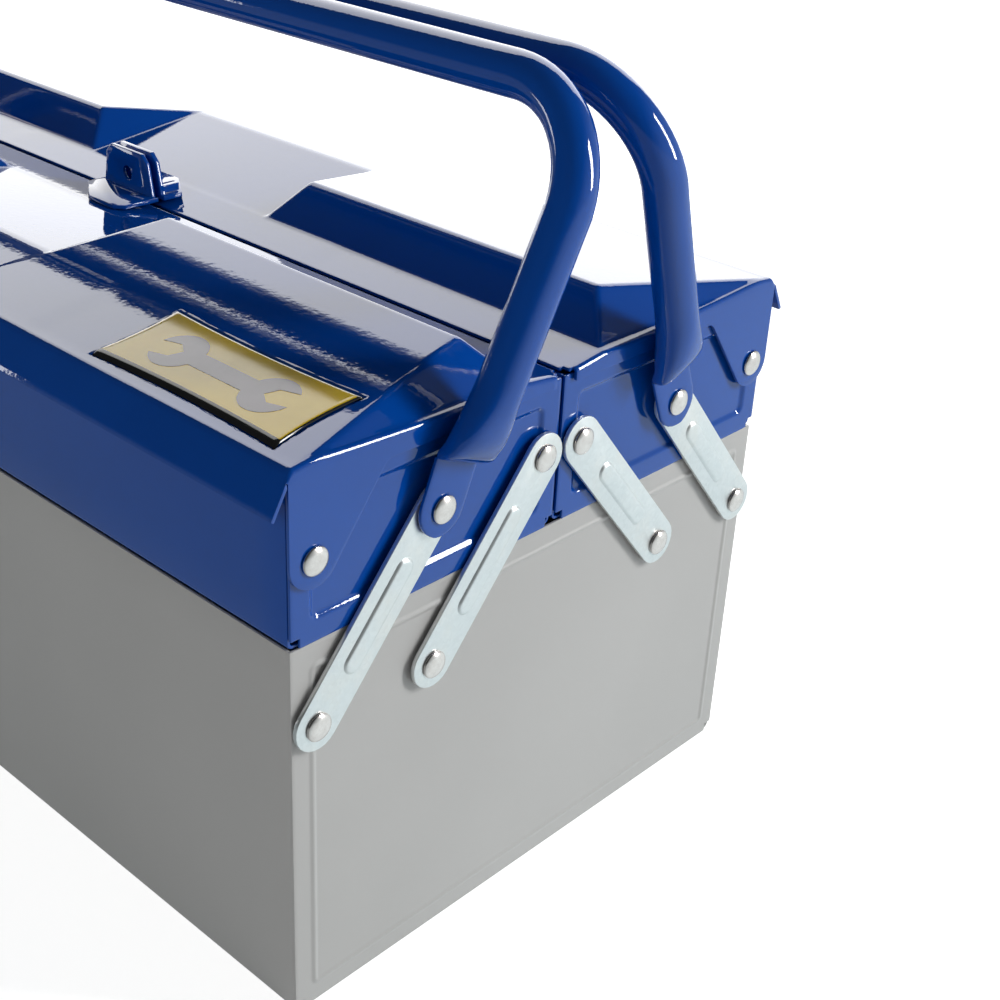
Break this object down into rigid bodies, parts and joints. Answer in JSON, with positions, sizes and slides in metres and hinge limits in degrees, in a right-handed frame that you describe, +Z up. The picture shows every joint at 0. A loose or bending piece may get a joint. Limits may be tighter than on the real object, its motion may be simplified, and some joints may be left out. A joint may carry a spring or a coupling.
{
  "type": "cantilever toolbox",
  "caption": "Steel toolbox whose lidded trays swing outward on parallel links above a deep base, with a folding tubular handle on each tray and a hasp at the seam.",
  "frame": {"origin": "bottom centre of the closed toolbox, on the surface it stands on", "axes": "+X along the length to the right, +Y to the rear across the seam, +Z up"},
  "size_m": [0.4402, 0.213, 0.26],
  "materials": {
    "grey_enamel": "satin light-grey stoving enamel",
    "blue_enamel": "high-gloss blue enamel with slight orange peel",
    "zinc_plate": "bright passivated zinc plate",
    "rivet_steel": "polished nickel-plated steel",
    "badge_yellow": "clear domed yellow plastic with a plain grey tool pictogram"
  },
  "bodies": {
    "base": {"base_end_left": "grey_enamel", "base_end_right": "grey_enamel", "base_trough": "grey_enamel", "front_inner_link_base_rivet_left": "rivet_steel", "front_inner_link_base_rivet_right": "rivet_steel", "front_outer_link_base_rivet_left": "rivet_steel", "front_outer_link_base_rivet_right": "rivet_steel", "rear_inner_link_base_rivet_left": "rivet_steel", "rear_inner_link_base_rivet_right": "rivet_steel", "rear_outer_link_base_rivet_left": "rivet_steel", "rear_outer_link_base_rivet_right": "rivet_steel"},
    "front_outer_links": {"front_outer_link_left": "zinc_plate", "front_outer_link_right": "zinc_plate"},
    "front_inner_links": {"front_inner_link_left": "zinc_plate", "front_inner_link_right": "zinc_plate"},
    "front_tray": {"front_handle_rivet_left": "rivet_steel", "front_handle_rivet_right": "rivet_steel", "front_inner_link_tray_rivet_left": "rivet_steel", "front_inner_link_tray_rivet_right": "rivet_steel", "front_lid_rivet_left": "rivet_steel", "front_lid_rivet_right": "rivet_steel", "front_tray_end_left": "blue_enamel", "front_tray_end_right": "blue_enamel", "front_tray_trough": "blue_enamel"},
    "front_lid_body": {"front_hasp": "blue_enamel", "front_lid": "blue_enamel", "badge_plate": "badge_yellow"},
    "front_handle_body": {"front_handle": "blue_enamel"},
    "rear_outer_links": {"rear_outer_link_left": "zinc_plate", "rear_outer_link_right": "zinc_plate"},
    "rear_inner_links": {"rear_inner_link_left": "zinc_plate", "rear_inner_link_right": "zinc_plate"},
    "rear_tray": {"rear_handle_rivet_left": "rivet_steel", "rear_handle_rivet_right": "rivet_steel", "rear_inner_link_tray_rivet_left": "rivet_steel", "rear_inner_link_tray_rivet_right": "rivet_steel", "rear_lid_rivet_left": "rivet_steel", "rear_lid_rivet_right": "rivet_steel", "rear_tray_end_left": "blue_enamel", "rear_tray_end_right": "blue_enamel", "rear_tray_trough": "blue_enamel"},
    "rear_lid_body": {"rear_hasp": "blue_enamel", "rear_lid": "blue_enamel"},
    "rear_handle_body": {"rear_handle": "blue_enamel"}
  },
  "joints": [
    {"name": "front_outer_link_swing", "type": "hinge", "parent": "base", "child": "front_outer_links", "pos_m": [0, -0.093, 0.0996], "axis": [1, 0, 0], "range_deg": [0, 78]},
    {"name": "front_inner_link_swing", "type": "hinge", "parent": "base", "child": "front_inner_links", "pos_m": [0, -0.0506, 0.0996], "axis": [1, 0, 0], "range_deg": [0, 78]},
    {"name": "front_tray_level", "type": "hinge", "parent": "front_outer_links", "child": "front_tray", "pos_m": [0, -0.0506, 0.1496], "axis": [1, 0, 0], "range_deg": [-78, 0]},
    {"name": "front_lid_swing", "type": "hinge", "parent": "front_tray", "child": "front_lid_body", "pos_m": [0, -0.093, 0.1496], "axis": [1, 0, 0], "range_deg": [0, 110]},
    {"name": "front_handle_fold", "type": "hinge", "parent": "front_tray", "child": "front_handle_body", "pos_m": [0, -0.0506, 0.1496], "axis": [1, 0, 0], "range_deg": [0, 60]},
    {"name": "rear_outer_link_swing", "type": "hinge", "parent": "base", "child": "rear_outer_links", "pos_m": [0, 0.093, 0.0996], "axis": [-1, 0, 0], "range_deg": [0, 78]},
    {"name": "rear_inner_link_swing", "type": "hinge", "parent": "base", "child": "rear_inner_links", "pos_m": [0, 0.0506, 0.0996], "axis": [-1, 0, 0], "range_deg": [0, 78]},
    {"name": "rear_tray_level", "type": "hinge", "parent": "rear_outer_links", "child": "rear_tray", "pos_m": [0, 0.0506, 0.1496], "axis": [-1, 0, 0], "range_deg": [-78, 0]},
    {"name": "rear_lid_swing", "type": "hinge", "parent": "rear_tray", "child": "rear_lid_body", "pos_m": [0, 0.093, 0.1496], "axis": [-1, 0, 0], "range_deg": [0, 110]},
    {"name": "rear_handle_fold", "type": "hinge", "parent": "rear_tray", "child": "rear_handle_body", "pos_m": [0, 0.0506, 0.1496], "axis": [-1, 0, 0], "range_deg": [0, 60]}
  ],
  "couplings": [
    {"joint": "front_inner_link_swing", "follows": "front_outer_link_swing", "ratio": 1},
    {"joint": "front_tray_level", "follows": "front_outer_link_swing", "ratio": -1},
    {"joint": "rear_inner_link_swing", "follows": "rear_outer_link_swing", "ratio": 1},
    {"joint": "rear_tray_level", "follows": "rear_outer_link_swing", "ratio": -1}
  ]
}
